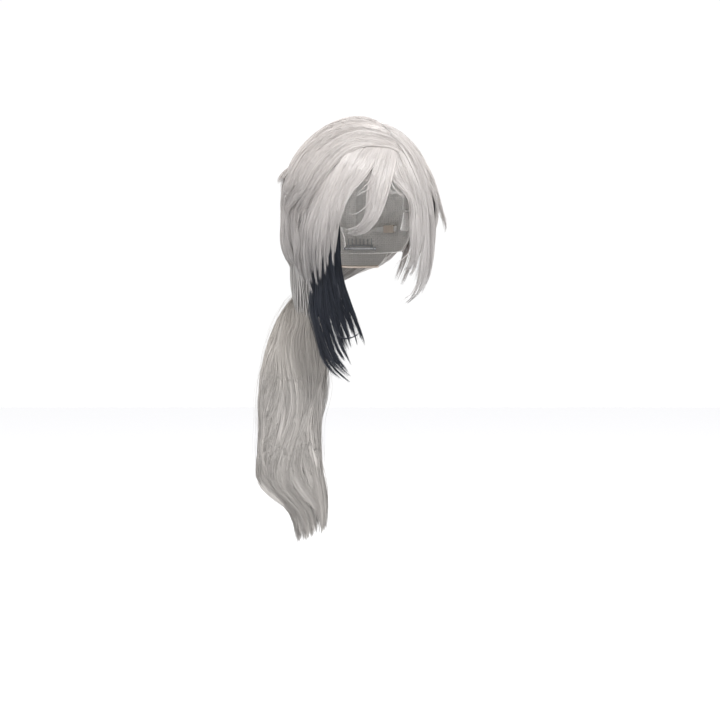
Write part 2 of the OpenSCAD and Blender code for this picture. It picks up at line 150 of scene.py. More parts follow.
class Piece:
    """Collects swept hairs and sheets of hair and makes them into one mesh."""

    def __init__(self, name):
        self.name = name
        self.verts, self.faces = [], {3: [], 4: []}
        self.count = 0

    def sweep(self, paths, normals, aside, out, ids, down, span):
        """Closed bodies along paths (n, k + 2, 3), with one more place at each end to set the direction.
        aside and out are the bodies' outline (n, k, ring), span their usual half widths (n, 1)."""
        n, k, ring = aside.shape
        pace = np.diff(paths, axis=1)
        length = np.linalg.norm(pace, axis=-1, keepdims=True) + 1e-6
        before, after = pace[:, :-1] / length[:, :-1], pace[:, 1:] / length[:, 1:]
        along = unit(before * length[:, 1:] + after * length[:, :-1])
        paths, normals = paths[:, 1:-1], normals[:, 1:-1]
        across = unit(np.cross(along, normals))
        up = np.cross(across, along)
        self.verts.append((paths[:, :, None] + across[:, :, None] * aside[..., None]
                           + up[:, :, None] * out[..., None]).reshape(-1, 3))
        at = self.count + np.arange(n * k * ring).reshape(n, k, ring)
        edge = np.maximum(aside.max(2, keepdims=True), 1e-6)
        u = ids[:, None, None] + STRAND_MAP * aside / edge * span[..., None]
        v = down[:, :, None] + ids[:, None, None] * 7 + np.zeros((1, 1, ring))
        uv = np.stack([u, v], -1)

        def turned(a):
            return np.concatenate([a, a[:, :, :1]], 2)

        w, face = turned(uv), turned(at)
        self.add([face[:, :-1, :-1], face[:, 1:, :-1], face[:, 1:, 1:], face[:, :-1, 1:]],
                 [w[:, :-1, :-1], w[:, 1:, :-1], w[:, 1:, 1:], w[:, :-1, 1:]])
        for end in (0, -1):
            cap, cuv = at[:, end], uv[:, end]
            for i in range(max(ring // 2 - 1, 1)):
                corners = [i, i + 1, ring - 2 - i, ring - 1 - i] if ring > 3 else [0, 1, 2]
                corners = corners if end == 0 else corners[::-1]
                self.add([cap[:, c] for c in corners], [cuv[:, c] for c in corners], smooth=False)
        self.count += n * k * ring

    def add(self, corners, uv, smooth=True):
        sides = len(corners)
        face = np.stack(corners, -1).reshape(-1, sides)
        self.faces[sides].append((face, np.stack(uv, -2).reshape(-1, 2), np.full(len(face), smooth)))

    def slab(self, outer, inner):
        """A closed sheet between two grids of points of shape (n, m, 3)."""
        n, m, _ = outer.shape
        at = self.count + np.arange(2 * n * m).reshape(2, n, m)
        uv = np.stack(np.meshgrid(0.3 + np.linspace(0, 0.6, n), np.linspace(0, 1.5, m), indexing="ij"), -1)
        for g, turn in ((at[0], 1), (at[1], -1)):
            self.add([g[:-1, :-1], g[1:, :-1], g[1:, 1:], g[:-1, 1:]][::turn],
                     [uv[:-1, :-1], uv[1:, :-1], uv[1:, 1:], uv[:-1, 1:]][::turn])
        for a, b, w in ((at[0][0], at[1][0], uv[0]), (at[1][-1], at[0][-1], uv[-1]),
                        (at[1][:, 0], at[0][:, 0], uv[:, 0]), (at[0][:, -1], at[1][:, -1], uv[:, -1])):
            self.add([a[:-1], a[1:], b[1:], b[:-1]], [w[:-1], w[1:], w[1:], w[:-1]], smooth=False)
        self.verts.append(np.concatenate([outer.reshape(-1, 3), inner.reshape(-1, 3)]))
        self.count += 2 * n * m

    def build(self, material):
        verts = np.concatenate(self.verts) * MM
        groups = self.faces[4] + self.faces[3]
        loops = np.concatenate([face.ravel() for face, _, _ in groups]).astype(np.int32)
        sizes = np.concatenate([np.full(len(face), face.shape[1]) for face, _, _ in groups])
        mesh = bpy.data.meshes.new(self.name)
        mesh.vertices.add(len(verts))
        mesh.vertices.foreach_set("co", verts.astype(np.float32).ravel())
        mesh.loops.add(len(loops))
        mesh.loops.foreach_set("vertex_index", loops)
        mesh.polygons.add(len(sizes))
        mesh.polygons.foreach_set("loop_start", (np.cumsum(sizes) - sizes).astype(np.int32))
        mesh.polygons.foreach_set("use_smooth", np.concatenate([smooth for _, _, smooth in groups]))
        layer = mesh.uv_layers.new(name="strand")
        layer.data.foreach_set("uv", np.concatenate([uv.ravel() for _, uv, _ in groups]).astype(np.float32))
        mesh.update(calc_edges=True)
        mesh.validate()
        mesh.materials.append(material)
        obj = bpy.data.objects.new(self.name, mesh)
        bpy.context.scene.collection.objects.link(obj)
        return obj


class Fall:
    """Hair between guides, in clumps that each have a place, a length, waves and a height."""

    def __init__(self, guides, clumps, seed, sway=2.0, tips=(0.85, 1.0), roots=(0, 0.04), gather=0.55,
                 swirl=0.8, dip=5.0, facing=head_normal, window=(0, 1), fray=0.0):
        rng = np.random.default_rng(seed)
        self.g = guides if isinstance(guides, np.ndarray) else np.stack([smooth_line(x) for x in guides])
        middle = self.g[:, DENSE // 2]
        self.width = np.linalg.norm(np.diff(middle, axis=0), axis=1).sum()
        self.clumps, self.seed, self.sway, self.gather = clumps, seed, sway, gather
        self.roots, self.tips, self.facing, self.window, self.dip = roots, tips, facing, window, dip
        self.fray = fray
        self.reach = 0.01 * np.linalg.norm(np.diff(self.g[len(self.g) // 2], axis=0), axis=1).sum()
        self.at = (np.arange(clumps) + 0.2 + 0.6 * rng.random(clumps)) / clumps
        self.ends = tips[0] + (tips[1] - tips[0]) * rng.random(clumps)
        self.wave, self.rise = Waves(rng, clumps, swirl), Waves(rng, clumps, 0.8)
        self.base = rng.normal(0, 0.35, clumps)

    def steps(self, t0, t1, steps):
        """Shares k along each hair inside the window and just past it, and which hairs reach it.
        Where the window cuts the fall, each hair is cut at a slightly different place."""
        span, n = (t1 - t0)[:, None], len(t0)
        ragged = self.fray * np.random.default_rng(self.seed + n).random(n)
        low, high = (edge + ragged * (0 < edge < 1) for edge in self.window)
        k0 = np.clip((low - t0)[:, None] / span, 0, 1)
        k1 = np.clip((high - t0)[:, None] / span, 0, 1)
        k = k0 + (k1 - k0) * np.linspace(0, 1, steps)[None]
        return np.clip(np.hstack([k0 - BEYOND, k, k1 + BEYOND]), 0, 1), (k1 - k0)[:, 0] > 2 * BEYOND

    def path(self, which, aside, k, t0, t1):
        """Points, outward directions and heights at shares k of hairs that lie aside of their clump."""
        t = t0[:, None] + (t1 - t0)[:, None] * k
        s = (self.at[which][:, None] + aside[:, None] * (1 - self.gather * k ** 1.4)
             + self.wave(k, which) * self.sway * (0.2 + 0.8 * k) / self.width)
        p = on_guides(self.g, np.clip(s, -0.04, 1.04), t)
        inside = np.clip(s, NEAR, 1 - NEAR)
        apart = on_guides(self.g, inside + NEAR, t) - on_guides(self.g, inside - NEAR, t)
        scale = np.linalg.norm(apart, axis=-1) / (2 * NEAR)
        turn = 2 * np.pi * (s * self.width / FOLD_WIDTH + 0.3 * np.sin(4 * k + self.seed)) + self.seed
        high = ((self.rise(k, which) * 0.6 + self.base[which][:, None]) * (0.3 + 0.7 * k)
                + FOLD_HEIGHT * np.sin(turn) * np.clip(4 * k, 0, 1)
                - self.dip * np.clip(1 - t / 0.1, 0, 1) ** 2)
        return p, self.facing(p), high, scale


def locks(piece, fall, overlap=1.5, crown=0.15, ridges=0.09, depth=-1.5, steps=24, columns=9, narrow=0.5):
    """A crowned strip of combed hair for each clump, narrowing to its tip."""
    rng = np.random.default_rng(fall.seed + 500)
    n = fall.clumps
    which, t0 = np.arange(n), np.full(n, fall.roots[0], float)
    size, tilt = 0.75 + 0.5 * rng.random((n, 1)), rng.normal(0, LEAN, (n, 1, 1))
    grooves, rake = rng.normal(0, 0.6, (n, 1, columns)), Waves(rng, n, 2.0)
    ids = rng.random(n)
    k, reach = fall.steps(t0, fall.ends, steps)
    p, normal, high, scale = fall.path(which, np.zeros(n), k, t0, fall.ends)
    p = p + normal * (depth + high)[..., None]
    k, scale = k[:, 1:-1], scale[:, 1:-1]
    half = 0.5 * overlap * scale / fall.clumps * size * (np.clip((1 - k) / narrow, 0, 1) ** 0.8 * 0.97 + 0.03)
    u = np.linspace(1, -1, columns)
    rise = (1 - u ** 2) * half[..., None]
    top = (crown * rise + ridges * (grooves + 0.5 * rake(k)[..., None] * np.cos(5 * u)) * (1 - u ** 4)
           * np.minimum(half, 1.5)[..., None])
    low = -(0.35 * crown * rise + 0.15)[..., -2:0:-1]
    aside = half[..., None] * np.concatenate([u, u[-2:0:-1]])
    out = np.concatenate([top, low], -1) + aside * tilt
    span = 0.55 * overlap * fall.width / n * size
    parts = (p, normal, aside, out, ids, k * fall.reach, span)
    piece.sweep(*(part[reach] for part in parts))


def hairs(piece, fall, n, width=0.5, depth=(-1.0, 0.6), frizz=0.3, steps=20, sides=3, spread=0.9,
          salt=900, short=0.12, fade=0.0):
    """n tapered hairs in the clumps of a fall; with fade they also thin out where the window cuts them."""
    rng = np.random.default_rng(fall.seed + salt)
    which = rng.integers(0, fall.clumps, n)
    aside = rng.normal(0, spread / fall.clumps, n)
    t0 = fall.roots[0] + (fall.roots[1] - fall.roots[0]) * rng.random(n)
    t1 = fall.ends[which] - short * rng.random(n) ** 2 + 0.02 * rng.random(n)
    off, size, ids = rng.random((n, 1)), 0.6 + 0.8 * rng.random((n, 1)), rng.random(n)
    curl, heave = Waves(rng, n, 2.2), Waves(rng, n, 2.0)
    k, reach = fall.steps(t0, t1, steps)
    p, normal, high, _ = fall.path(which, aside, k, t0, t1)
    edge = np.minimum(np.abs(aside) * fall.clumps, 1)[:, None] ** 2
    high = high + depth[0] + (depth[1] - depth[0]) * off
    high = high - edge * 0.8 * (0.4 + 0.6 * k) + heave(k) * frizz * 0.6
    side = unit(np.cross(unit(np.gradient(p, axis=1)), normal))
    p = p + normal * high[..., None] + side * (curl(k) * frizz * (0.3 + k))[..., None]
    k = k[:, 1:-1]
    taper = np.clip(0.55 + 6 * k, 0, 1) * np.clip((1 - k) / 0.38, 0, 1) ** 0.7 + 0.04
    if fade:
        share = np.linspace(0, 1, steps)
        taper = taper * np.clip(np.minimum(share, 1 - share) / fade, 0.1, 1)
    wide = (width * size * taper)[..., None]
    turn = np.arange(sides) * 2 * np.pi / sides
    aside, out = wide * np.cos(turn), (wide * FLATNESS + 0.03) * np.sin(turn)
    parts = (p, normal, aside, out, ids, k * fall.reach, width * size)
    piece.sweep(*(part[reach] for part in parts))


def underlay(piece, fall, drop, thick=1.2, across=24, along=28, t=(0.05, 0.85)):
    """The closed mass of hair below the loose hairs, so that nothing shows between them."""
    lo, hi = max(t[0], fall.window[0]), min(t[1], fall.window[1])
    s, k = np.meshgrid(np.linspace(0, 1, across), np.linspace(lo, hi, along), indexing="ij")
    if hi < fall.window[1]:
        ragged = np.random.default_rng(fall.seed).random((across, 1))
        k = lo + (k - lo) * (1 - 0.12 * ragged)
    p = on_guides(fall.g, s, k)
    normal = fall.facing(p)
    if (np.cross(np.gradient(p, axis=0), np.gradient(p, axis=1)) * normal).sum() < 0:
        p, normal, k = p[::-1], normal[::-1], k[::-1]
    low = (drop + fall.dip * np.clip(1 - k / 0.1, 0, 1) ** 2)[..., None]
    piece.slab(p - normal * low, p - normal * (low + thick))


# ---- Materials ----
def new_material(name):
    m = bpy.data.materials.new(name)
    m.use_nodes = True
    nodes, links = m.node_tree.nodes, m.node_tree.links
    return m, nodes, links, nodes["Principled BSDF"]


def mixed(nodes, links, factor, a, b):
    mix = nodes.new("ShaderNodeMix")
    mix.data_type = "RGBA"
    links.new(factor, mix.inputs[0])
    for socket, value in ((mix.inputs[6], a), (mix.inputs[7], b)):
        if hasattr(value, "is_linked"):
            links.new(value, socket)
        else:
            socket.default_value = (*value, 1)
    return mix.outputs[2]


def remap(nodes, links, value, a, b, low=0.0, high=1.0):
    r = nodes.new("ShaderNodeMapRange")
    links.new(value, r.inputs["Value"])
    r.inputs["From Min"].default_value, r.inputs["From Max"].default_value = a, b
    r.inputs["To Min"].default_value, r.inputs["To Max"].default_value = low, high
    return r.outputs["Result"]


def streaks(nodes, links, scale_u, scale_v, detail=2.0):
    """Noise drawn out along each hair."""
    uv = nodes.new("ShaderNodeUVMap")
    uv.uv_map = "strand"
    place = nodes.new("ShaderNodeMapping")
    place.inputs["Scale"].default_value = (scale_u, scale_v, 1)
    links.new(uv.outputs[0], place.inputs["Vector"])
    noise = nodes.new("ShaderNodeTexNoise")
    noise.inputs["Scale"].default_value = 1.0
    noise.inputs["Detail"].default_value = detail
    links.new(place.outputs[0], noise.inputs["Vector"])
    return noise.outputs["Fac"]


def hair_material(name, light, mid, shade, lit_top_tint, shaded_low_tint, rough=0.4, gloss=0.5, shade_heights=(-0.09, 0.1), soft=0.35):
    """Glossy fibre, streaked along each strand; painted shade makes it darker and bluer lower down, painted
    light makes it lighter and more yellow higher up.
    """
    m, nodes, links, bsdf = new_material(name)
    fine = streaks(nodes, links, 700, 0.7)
    broad = streaks(nodes, links, 40, 0.5)
    base = mixed(nodes, links, remap(nodes, links, fine, 0.35, 0.65), mid, light)
    base = mixed(nodes, links, remap(nodes, links, broad, 0.58, 0.78, 0, 0.7), base, shade)
    place = nodes.new("ShaderNodeTexCoord")
    apart = nodes.new("ShaderNodeSeparateXYZ")
    links.new(place.outputs["Object"], apart.inputs[0])
    # painted light and shade: the colour is multiplied by a colour that changes with height, darker low down
    # and lighter high up
    height = remap(nodes, links, apart.outputs["Z"], *shade_heights)
    painted_light_tint = mixed(nodes, links, height, shaded_low_tint, lit_top_tint)
    blend = nodes.new("ShaderNodeMix")
    blend.data_type, blend.blend_type = "RGBA", "MULTIPLY"
    blend.inputs[0].default_value = 1.0
    links.new(base, blend.inputs[6])
    links.new(painted_light_tint, blend.inputs[7])
    links.new(blend.outputs[2], bsdf.inputs["Base Color"])
    links.new(remap(nodes, links, fine, 0.3, 0.7, rough - 0.07, rough + 0.1), bsdf.inputs["Roughness"])
    bump = nodes.new("ShaderNodeBump")
    bump.inputs["Strength"].default_value = 0.35
    bump.inputs["Distance"].default_value = 0.0006
    links.new(streaks(nodes, links, 1500, 0.8, 3.0), bump.inputs["Height"])
    links.new(bump.outputs[0], bsdf.inputs["Normal"])
    bsdf.inputs["Specular IOR Level"].default_value = gloss
    bsdf.inputs["Anisotropic"].default_value = 0.6
    bsdf.inputs["Subsurface Weight"].default_value = soft
    bsdf.inputs["Subsurface Radius"].default_value = (1.0, 0.95, 0.9)
    bsdf.inputs["Subsurface Scale"].default_value = 0.002
    tangent = nodes.new("ShaderNodeTangent")
    tangent.direction_type, tangent.uv_map = "UV_MAP", "strand"
    links.new(tangent.outputs[0], bsdf.inputs["Tangent"])
    return m


# white hair: its last two colours are painted light above and painted shade below, by height
white = hair_material("white hair", (0.63, 0.598, 0.577), (0.535, 0.503, 0.484), (0.40, 0.376, 0.36),
                      (1.0, 0.98, 0.965), (0.70, 0.705, 0.715), 0.33, 0.75)
# a copy of the white hair with stronger painted shade, much darker towards the tips; this also stands for the
# black hair seen through the thin tips
curtain_shaded_hair = hair_material("shaded curtain hair", (0.65, 0.62, 0.60), (0.56, 0.53, 0.512), (0.43, 0.405, 0.39),
                              (1.0, 0.98, 0.965), (0.56, 0.56, 0.57), 0.35, 0.6, (-0.07, 0.06))
# tail hair: painted light, lighter towards the top of the tail than further down
tail_white = hair_material("tail hair", (0.44, 0.425, 0.405), (0.38, 0.365, 0.35), (0.30, 0.285, 0.27),
                           (1.19, 1.15, 1.10), (0.94, 0.925, 0.915), 0.40, 0.5, (-0.22, -0.10), 0.0)
# a darker copy of the white hair for the hair column at the side: painted shade
shaded_white = hair_material("shaded white hair", (0.50, 0.487, 0.474), (0.455, 0.444, 0.432),
                          (0.40, 0.39, 0.38), (1.02, 1.0, 0.98), (0.985, 0.975, 0.965), 0.45, 0.4)
black = hair_material("black hair", (0.018, 0.021, 0.029), (0.010, 0.012, 0.017), (0.005, 0.006, 0.009),
                      (1, 1, 1), (0.95, 1.0, 1.1), 0.34, 0.4, soft=0.0)


def in_place(nodes, links, scale):
    """The object's own coordinates, in metres, scaled."""
    place, fit = nodes.new("ShaderNodeTexCoord"), nodes.new("ShaderNodeMapping")
    fit.inputs["Scale"].default_value = scale
    links.new(place.outputs["Object"], fit.inputs["Vector"])
    return fit.outputs[0]


def noise(nodes, links, where, detail=3.0):
    n = nodes.new("ShaderNodeTexNoise")
    n.inputs["Scale"].default_value, n.inputs["Detail"].default_value = 1.0, detail
    links.new(where, n.inputs["Vector"])
    return n.outputs["Fac"]


def raise_by(nodes, links, bsdf, height, distance, strength=0.6):
    bump = nodes.new("ShaderNodeBump")
    bump.inputs["Distance"].default_value, bump.inputs["Strength"].default_value = distance, strength
    links.new(height, bump.inputs["Height"])
    links.new(bump.outputs[0], bsdf.inputs["Normal"])


def bands(nodes, links, where, axis, scale):
    wave = nodes.new("ShaderNodeTexWave")
    wave.bands_direction, wave.wave_profile = axis, "SIN"
    wave.inputs["Scale"].default_value, wave.inputs["Distortion"].default_value = scale, 0.6
    wave.inputs["Detail Scale"].default_value = 3.0
    links.new(where, wave.inputs["Vector"])
    return wave.outputs["Fac"]


def combined(nodes, links, operation, a, b):
    math_node = nodes.new("ShaderNodeMath")
    math_node.operation = operation
    links.new(a, math_node.inputs[0])
    links.new(b, math_node.inputs[1])
    return math_node.outputs[0]


def net_material(name, thread, hole, cell, rough=0.8):
    """Stretch net: small many-sided holes between threads; the holes are painted darker, as the hair seen
    through them in painted shade.
    """
    m, nodes, links, bsdf = new_material(name)
    cells = nodes.new("ShaderNodeTexVoronoi")
    cells.feature = "DISTANCE_TO_EDGE"
    cells.inputs["Scale"].default_value, cells.inputs["Randomness"].default_value = 1.0, 0.35
    links.new(in_place(nodes, links, (1 / cell,) * 3), cells.inputs["Vector"])
    open_part = remap(nodes, links, cells.outputs["Distance"], 0.08, 0.2)
    tone = noise(nodes, links, in_place(nodes, links, (60, 60, 60)))
    worn = mixed(nodes, links, remap(nodes, links, tone, 0.3, 0.7), [0.86 * c for c in thread], thread)
    # painted shade: the open parts of the net take the darker colour that stands for the shaded hair behind
    # it
    links.new(mixed(nodes, links, open_part, worn, hole), bsdf.inputs["Base Color"])
    links.new(remap(nodes, links, tone, 0.2, 0.8, rough - 0.08, rough + 0.1), bsdf.inputs["Roughness"])
    raise_by(nodes, links, bsdf, remap(nodes, links, open_part, 0, 1, 1, 0), 0.0003)
    return m


def tape_material(name, high, low, pitch, rough=0.75, axes="XYZ"):
    """Woven tape or ribbed elastic: threads along each of the axes."""
    m, nodes, links, bsdf = new_material(name)
    where = in_place(nodes, links, (1, 1, 1))
    height = None
    for axis in axes:
        run = bands(nodes, links, where, axis, 0.32 / pitch)
        height = run if height is None else combined(nodes, links, "MULTIPLY", height, run)
    tone = noise(nodes, links, in_place(nodes, links, (90, 90, 90)))
    # painted shade: the weave is coloured darker where it lies low, between the threads
    threads = mixed(nodes, links, remap(nodes, links, height, 0.0, 0.6), low, high)
    worn = mixed(nodes, links, remap(nodes, links, tone, 0.55, 0.8, 0, 0.35), threads, low)
    links.new(worn, bsdf.inputs["Base Color"])
    links.new(remap(nodes, links, tone, 0.2, 0.8, rough - 0.1, rough + 0.1), bsdf.inputs["Roughness"])
    raise_by(nodes, links, bsdf, height, 0.0004)
    return m


def moulded_material(name, colour, shade, rough=0.35, grain=500.0, metallic=0.0, stretch=(1, 1, 1)):
    """Moulded plastic, silicone or brushed steel, by the grain and its stretch."""
    m, nodes, links, bsdf = new_material(name)
    fine = noise(nodes, links, in_place(nodes, links, [grain * s for s in stretch]), 4.0)
    broad = noise(nodes, links, in_place(nodes, links, (45, 45, 45)))
    base = mixed(nodes, links, remap(nodes, links, broad, 0.35, 0.75), colour, shade)
    links.new(base, bsdf.inputs["Base Color"])
    links.new(remap(nodes, links, fine, 0.3, 0.7, rough - 0.08, rough + 0.12), bsdf.inputs["Roughness"])
    raise_by(nodes, links, bsdf, fine, 0.0001, 0.4)
    bsdf.inputs["Metallic"].default_value = metallic
    return m


def sewn_hair_material(name, light, shade):
    """Short hair in sewn rows: fine upright threads."""
    m, nodes, links, bsdf = new_material(name)
    fine = noise(nodes, links, in_place(nodes, links, (900, 900, 40)))
    base = mixed(nodes, links, remap(nodes, links, fine, 0.35, 0.65), shade, light)
    links.new(base, bsdf.inputs["Base Color"])
    links.new(remap(nodes, links, fine, 0.3, 0.7, 0.4, 0.6), bsdf.inputs["Roughness"])
    raise_by(nodes, links, bsdf, fine, 0.0005)
    return m


FINISHES = {
    "white_hair": white, "tail_hair": tail_white, "black_hair": black,
    "weft_hair": sewn_hair_material("weft hair", (0.66, 0.64, 0.62), (0.42, 0.40, 0.385)),
    "cap_net": net_material("cap net", (0.80, 0.785, 0.765), (0.60, 0.59, 0.57), 0.0030),
    "skin_mesh": net_material("skin mesh", (0.70, 0.60, 0.52), (0.48, 0.40, 0.34), 0.0012),
    "binding": tape_material("binding tape", (0.70, 0.61, 0.53), (0.48, 0.41, 0.35), 0.0012),
    "elastic": tape_material("ribbed elastic", (0.78, 0.77, 0.75), (0.55, 0.545, 0.53), 0.0018, axes="XZ"),
    "hair_tie": tape_material("covered elastic", (0.05, 0.05, 0.055), (0.015, 0.015, 0.018), 0.0010),
    "steel": moulded_material("spring steel", (0.50, 0.51, 0.53), (0.36, 0.37, 0.39), 0.3, 900,
                              metallic=1.0, stretch=(1, 1, 0.08)),
    "clear_rubber": moulded_material("silicone", (0.62, 0.635, 0.65), (0.50, 0.51, 0.53), 0.28, 300),
    "hook_plastic": moulded_material("hook plastic", (0.72, 0.71, 0.68), (0.58, 0.57, 0.54), 0.34),
    "claw_plastic": moulded_material("clip plastic", (0.68, 0.665, 0.64), (0.54, 0.525, 0.50), 0.30)}


def finish_cad_nodes():
    """Each CAD node gets the finish of its slot."""
    for row in frame["record"]["subparts"]:
        paints = frame["nodes"][row["node"]].data.materials
        paints.clear()
        paints.append(FINISHES[row["material_slot"]])


finish_cad_nodes()

# ---- Guides: each is a line of points down the hair, and the hair lies between them ----
F, P = front, polar

SWOOP = [
    [F(66, 84, 15), F(46, 101, 18), F(22, 106, 17), F(1, 105, 16), F(-21, 94, 16), F(-43, 69, 17),
     F(-60, 40, 18), F(-71, 10, 20), F(-77, -18, 20)],
    [F(68, 90, 16), F(48, 109, 19), F(22, 117, 20), F(-4, 119, 20), F(-32, 107, 21), F(-58, 82, 22),
     F(-76, 48, 23), P(204, -8, 26), P(203, -34, 24)],
    [F(68, 98, 17), F(48, 118, 20), F(18, 130, 21), F(-14, 131, 21), F(-46, 117, 22), F(-72, 91, 24),
     F(-89, 58, 26), P(193, -4, 27), P(193, -34, 26)],
    [P(-44, 54, 20), P(-58, 66, 21), P(-85, 77, 22), P(-150, 72, 22), P(-167, 52, 23), P(187, 30, 25),
     P(186, 8, 27), P(186, -12, 27), P(187, -36, 25)],
    [P(-38, 60, 20), P(-50, 74, 21), P(-110, 86, 22), P(165, 74, 22), P(172, 54, 23), P(174, 32, 25),
     P(174, 10, 26), P(174, -14, 26), P(176, -38, 24)]]

CURTAIN = [
    [F(-10, 110, 12), F(-22, 96, 13), F(-46, 66, 14), F(-62, 32, 15), F(-72, 2, 17), F(-74, -30, 17),
     F(-71, -58, 16), F(-65, -80, 15), F(-56, -98, 14)],
    [F(-4, 112, 12), F(-16, 98, 13), F(-38, 66, 15), F(-52, 32, 16), F(-61, 0, 17), F(-63, -30, 17),
     F(-61, -56, 16), F(-58, -72, 15), F(-54, -84, 14)],
    [F(4, 113, 12), F(-8, 99, 13), F(-27, 68, 15), F(-41, 34, 16), F(-49, 2, 17), F(-52, -28, 17),
     F(-52, -50, 16), F(-51, -64, 15), F(-50, -74, 14)],
    [F(12, 113, 12), F(0, 99, 13), F(-18, 68, 15), F(-31, 34, 16), F(-38, 4, 16), F(-41, -26, 16),
     F(-41, -44, 15), F(-40, -56, 15), F(-38, -66, 14)],
    [F(20, 113, 12), F(8, 99, 13), F(-9, 66, 15), F(-21, 34, 16), F(-28, 4, 16), F(-32, -24, 16),
     F(-33, -40, 15), F(-32, -50, 15), F(-29, -60, 14)]]

FRINGE_ROOTS = [
    [F(-24, 108, 12), F(-38, 92, 12), F(-50, 72, 12), F(-60, 48, 12), F(-68, 24, 13)],
    [F(-4, 114, 12), F(-14, 98, 12), F(-24, 80, 12), F(-32, 60, 12), F(-38, 42, 13)],
    [F(18, 116, 13), F(12, 100, 14), F(4, 84, 14), F(-5, 67, 14), F(-15, 48, 14)],
    [F(34, 112, 13), F(28, 98, 15), F(21, 83, 15), F(13, 67, 15), F(3, 49, 15)],
    [F(44, 110, 13), F(42, 95, 14), F(39, 80, 14), F(35, 67, 14), F(30, 52, 14)],
    [F(52, 106, 12), F(53, 93, 12), F(53, 80, 12), F(54, 68, 12), F(56, 58, 13)]]

SECOND = [
    [F(14, 110, 14), F(4, 98, 14), F(-2, 87, 15), F(-9, 73, 15), F(-15, 60, 16), F(-21, 48, 16),
     F(-26, 32, 16), F(-31, 10, 16), F(-34, -14, 15)],
    [F(26, 110, 15), F(16, 98, 16), F(8, 86, 17), F(0, 72, 18), F(-8, 58, 18), F(-16, 44, 18),
     F(-22, 28, 17), F(-28, 8, 16), F(-32, -12, 15)],
    [F(38, 110, 14), F(30, 99, 15), F(21, 87, 16), F(14, 74, 16), F(5, 61, 16), F(-6, 49, 15),
     F(-16, 34, 15), F(-24, 12, 15), F(-29, -6, 14)]]

CENTRE = [
    [F(28, 110, 16), F(25, 99, 16), F(21, 86, 17), F(16, 68, 17), F(11, 50, 17), F(9, 35, 17),
     F(8, 20, 16), F(3, 7, 15), F(-6, -1, 15), F(-22, -4, 14)],
    [F(38, 110, 17), F(36, 98, 18), F(32, 80, 19), F(27, 60, 19), F(22, 42, 19), F(18, 24, 18),
     F(10, 7, 17), F(-2, -4, 16), F(-17, -9, 15)],
    [F(47, 108, 16), F(46, 97, 16), F(42, 77, 17), F(38, 58, 17), F(33, 38, 17), F(27, 19, 17),
     F(18, 3, 16), F(4, -9, 15), F(-13, -12, 14)]]

CHEEK = [
    [F(42, 108, 16), F(36, 92, 15), F(36, 74, 15), F(43, 60, 15), F(54, 50, 16), F(63, 39, 17),
     F(67, 24, 17), F(66, 6, 18), F(66, -14, 18), F(66, -39, 18), F(60, -51, 17), F(54, -55, 16)],
    [F(48, 111, 17), F(50, 94, 17), F(57, 74, 18), F(66, 54, 18), F(73, 34, 18), F(76, 12, 19),
     F(75, -10, 19), F(73, -32, 19), F(70, -50, 18), F(63, -60, 17)],
    [F(52, 113, 17), F(59, 97, 17), F(68, 77, 18), F(77, 54, 18), F(82, 32, 18), F(83, 10, 19),
     F(80, -12, 19), F(76, -34, 19), F(72, -52, 18), F(66, -63, 17)]]

JAW = [
    [F(34, 119, 20), F(46, 113, 20), F(58, 97, 19), F(67, 77, 19), F(76, 54, 19), F(82, 32, 19),
     F(84, 8, 20), F(82, -18, 20), F(78, -42, 20), F(75, -62, 19), F(71, -78, 18), F(64, -91, 17),
     F(54, -99, 16)], [F(33, 124, 22), F(48, 116, 22), F(64, 97, 20), F(74, 76, 20), F(82, 50, 20),
     F(87, 24, 20), F(88, -2, 20), F(87, -28, 20), F(84, -52, 20), F(80, -72, 19), F(73, -86, 18),
     F(62, -97, 17)], [F(32, 129, 22), F(50, 119, 23), F(70, 97, 21), F(81, 73, 21), F(89, 45, 21),
     [94, -34, 18], [95, -32, -8], [94, -33, -34], [90, -36, -58], [84, -40, -76], [73, -46, -91]]]

SIDE_LEFT = [
    [F(32, 128, 21), F(48, 118, 22), F(66, 98, 21), F(79, 72, 20), F(88, 44, 20), [94, -38, 14],
     [94, -36, -12], [93, -35, -38], [89, -36, -62], [80, -40, -80]],
    [P(-58, 58, 20), P(-43, 52, 21), P(-28, 42, 21), P(-18, 26, 21), P(-14, 8, 21), [98, -22, 8],
     [97, -20, -16], [95, -20, -40], [90, -22, -64], [80, -27, -83]],
    [P(-62, 64, 20), P(-42, 62, 21), P(-20, 54, 21), P(-8, 36, 21), P(-3, 14, 21), [99, -2, 12],
     [98, 0, -16], [94, 0, -42], [88, -3, -66], [79, -8, -84]],
    [P(-58, 64, 19), P(-20, 70, 20), P(5, 46, 21), P(8, 20, 21), [97, 16, 14], [96, 17, -16],
     [92, 16, -48], [84, 12, -78]],
    [P(-66, 68, 18), P(-10, 80, 20), P(22, 54, 22), P(24, 24, 23), [91, 42, 14], [89, 43, -16],
     [85, 41, -46], [77, 35, -74]],
    [P(-70, 70, 18), P(10, 82, 20), P(34, 54, 22), P(36, 26, 24), P(34, 4, 24), P(32, -20, 23),
     P(31, -46, 20), P(32, -72, 13)],
    [P(-74, 72, 18), P(30, 82, 20), P(48, 54, 22), P(51, 28, 24), P(50, 6, 25), P(49, -18, 24),
     P(49, -42, 20), P(51, -66, 14)]]

FLICK = [
    [[58, -26, 118], [76, -24, 102], [93, -22, 77], [104, -20, 50], [109, -18, 28], [115, -17, 8],
     [112, -17, -4]],
    [[62, -40, 108], [78, -38, 91], [90, -32, 70], [98, -28, 50], [103, -22, 32], [110, -19, 12],
     [112, -17, -3]]]

RIGHT_FLICK = [
    [[-74, -34, 104], [-90, -26, 84], [-103, -18, 72], [-111, -10, 63]],
    [[-74, -14, 106], [-92, -8, 88], [-106, -5, 72], [-110, -5, 59]],
    [[-80, -2, 96], [-96, -2, 74], [-103, -4, 60], [-104, -7, 48]]]

